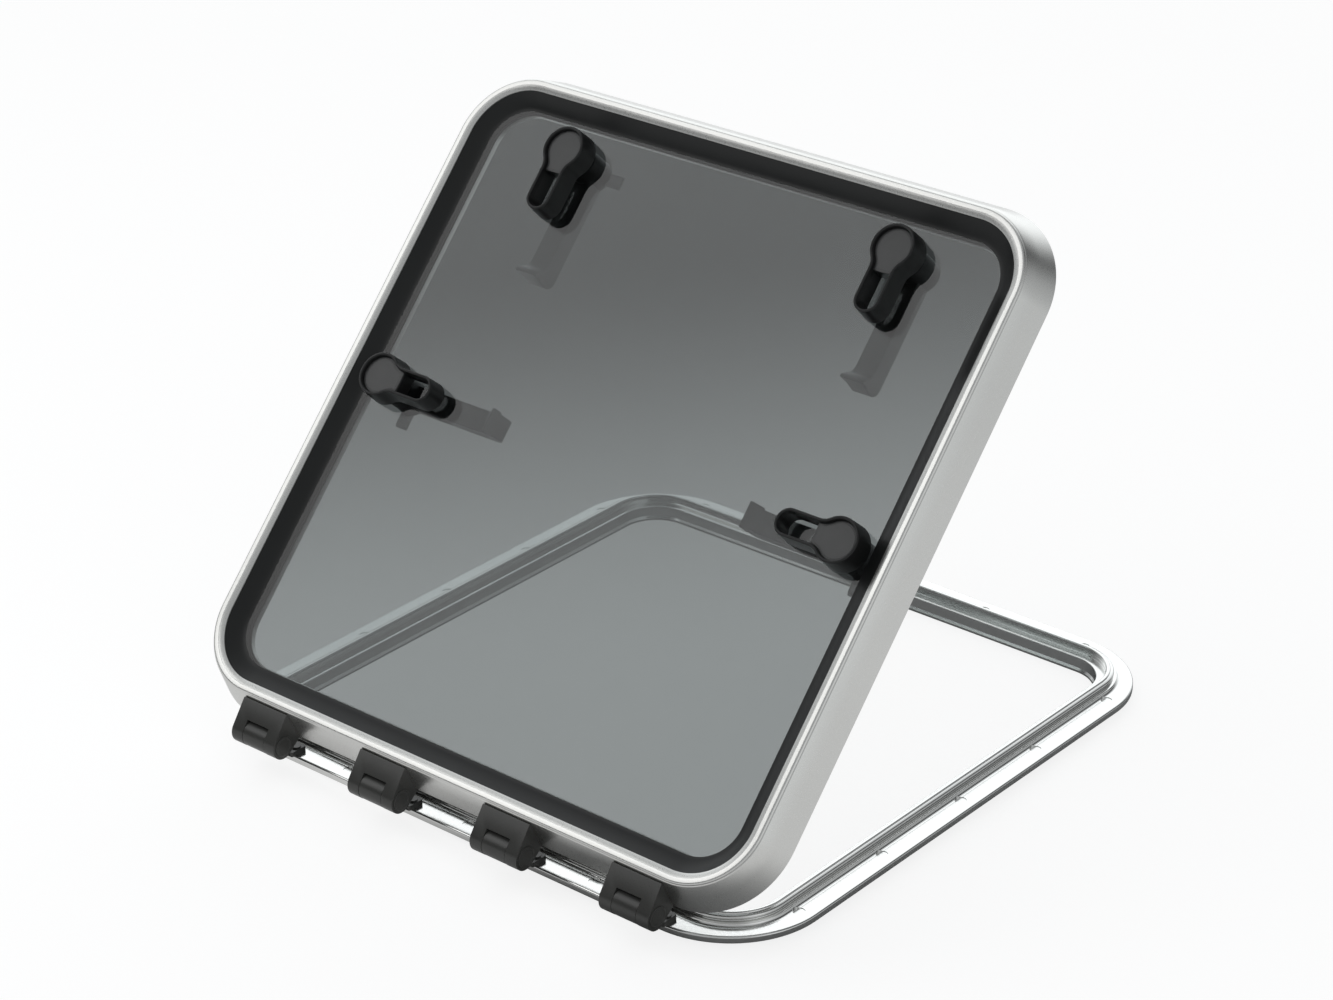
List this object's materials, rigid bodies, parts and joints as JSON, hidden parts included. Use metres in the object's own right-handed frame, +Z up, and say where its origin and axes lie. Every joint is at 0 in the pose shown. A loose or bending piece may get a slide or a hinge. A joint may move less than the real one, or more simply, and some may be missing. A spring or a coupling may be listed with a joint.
{
  "type": "boat escape hatch",
  "caption": "Square flush-flange deck escape hatch with a hinged smoked pane lid, friction hinges and two-sided turn handles",
  "frame": {"origin": "centre of the clear opening, on the deck plane under the base flange", "axes": "+Z up out of the deck, +Y from the hinge edge to the free edge, +X along the hinge edge"},
  "size_m": [0.612, 0.6315, 0.4978],
  "materials": {
    "base_aluminium": "bright anodised",
    "lid_aluminium": "satin anodised",
    "acrylic_pane": "polished smoked grey",
    "black_sealant": "smooth satin",
    "black_rubber": "matt",
    "hinge_plastic": "fine texture",
    "hinge_caps": "satin",
    "bush_plastic": "machined",
    "stainless_steel": "turned",
    "handle_disc": "fine texture",
    "handle_plastic": "satin moulded"
  },
  "bodies": {
    "base": {"base_frame": "base_aluminium", "hinge_1_base_leaf": "hinge_plastic", "hinge_2_base_leaf": "hinge_plastic", "hinge_3_base_leaf": "hinge_plastic", "hinge_4_base_leaf": "hinge_plastic", "hinge_friction_bushes": "bush_plastic", "hinge_foot_screws": "stainless_steel"},
    "lid": {"lid_frame": "lid_aluminium", "pane": "acrylic_pane", "pane_seal": "black_sealant", "lid_gasket": "black_rubber", "hinge_1_lid_leaf": "hinge_plastic", "hinge_1_pin": "stainless_steel", "hinge_2_lid_leaf": "hinge_plastic", "hinge_2_pin": "stainless_steel", "hinge_3_lid_leaf": "hinge_plastic", "hinge_3_pin": "stainless_steel", "hinge_4_lid_leaf": "hinge_plastic", "hinge_4_pin": "stainless_steel", "hinge_end_caps": "hinge_caps", "hinge_lid_screws": "stainless_steel", "handle_seal_rings": "black_rubber", "free_left_pane_bush": "bush_plastic", "free_right_pane_bush": "bush_plastic", "side_left_pane_bush": "bush_plastic", "side_right_pane_bush": "bush_plastic"},
    "free_left_handle": {"free_left_outer_handle": "handle_plastic", "free_left_handle_cap": "handle_disc", "free_left_spindle": "stainless_steel", "free_left_handle_screws": "stainless_steel", "free_left_inner_handle": "handle_plastic"},
    "free_right_handle": {"free_right_outer_handle": "handle_plastic", "free_right_handle_cap": "handle_disc", "free_right_spindle": "stainless_steel", "free_right_handle_screws": "stainless_steel", "free_right_inner_handle": "handle_plastic"},
    "side_left_handle": {"side_left_outer_handle": "handle_plastic", "side_left_handle_cap": "handle_disc", "side_left_spindle": "stainless_steel", "side_left_handle_screws": "stainless_steel", "side_left_inner_handle": "handle_plastic"},
    "side_right_handle": {"side_right_outer_handle": "handle_plastic", "side_right_handle_cap": "handle_disc", "side_right_spindle": "stainless_steel", "side_right_handle_screws": "stainless_steel", "side_right_inner_handle": "handle_plastic"}
  },
  "joints": [
    {"name": "lid_hinge", "type": "hinge", "parent": "base", "child": "lid", "pos_m": [0, -0.3198, 0.0275], "axis": [1, 0, 0], "range_deg": [-47.5, 62.5]},
    {"name": "free_left_turn", "type": "hinge", "parent": "lid", "child": "free_left_handle", "pos_m": [-0.1735, 0.05159, 0.44375], "axis": [0, -0.7373, 0.6756], "range_deg": [0, 90]},
    {"name": "free_right_turn", "type": "hinge", "parent": "lid", "child": "free_right_handle", "pos_m": [0.1735, 0.05159, 0.44375], "axis": [0, 0.7373, -0.6756], "range_deg": [0, 90]},
    {"name": "side_left_turn", "type": "hinge", "parent": "lid", "child": "side_left_handle", "pos_m": [-0.2443, -0.1092, 0.26828], "axis": [0, 0.7373, -0.6756], "range_deg": [0, 90]},
    {"name": "side_right_turn", "type": "hinge", "parent": "lid", "child": "side_right_handle", "pos_m": [0.2443, -0.1092, 0.26828], "axis": [0, -0.7373, 0.6756], "range_deg": [0, 90]}
  ]
}
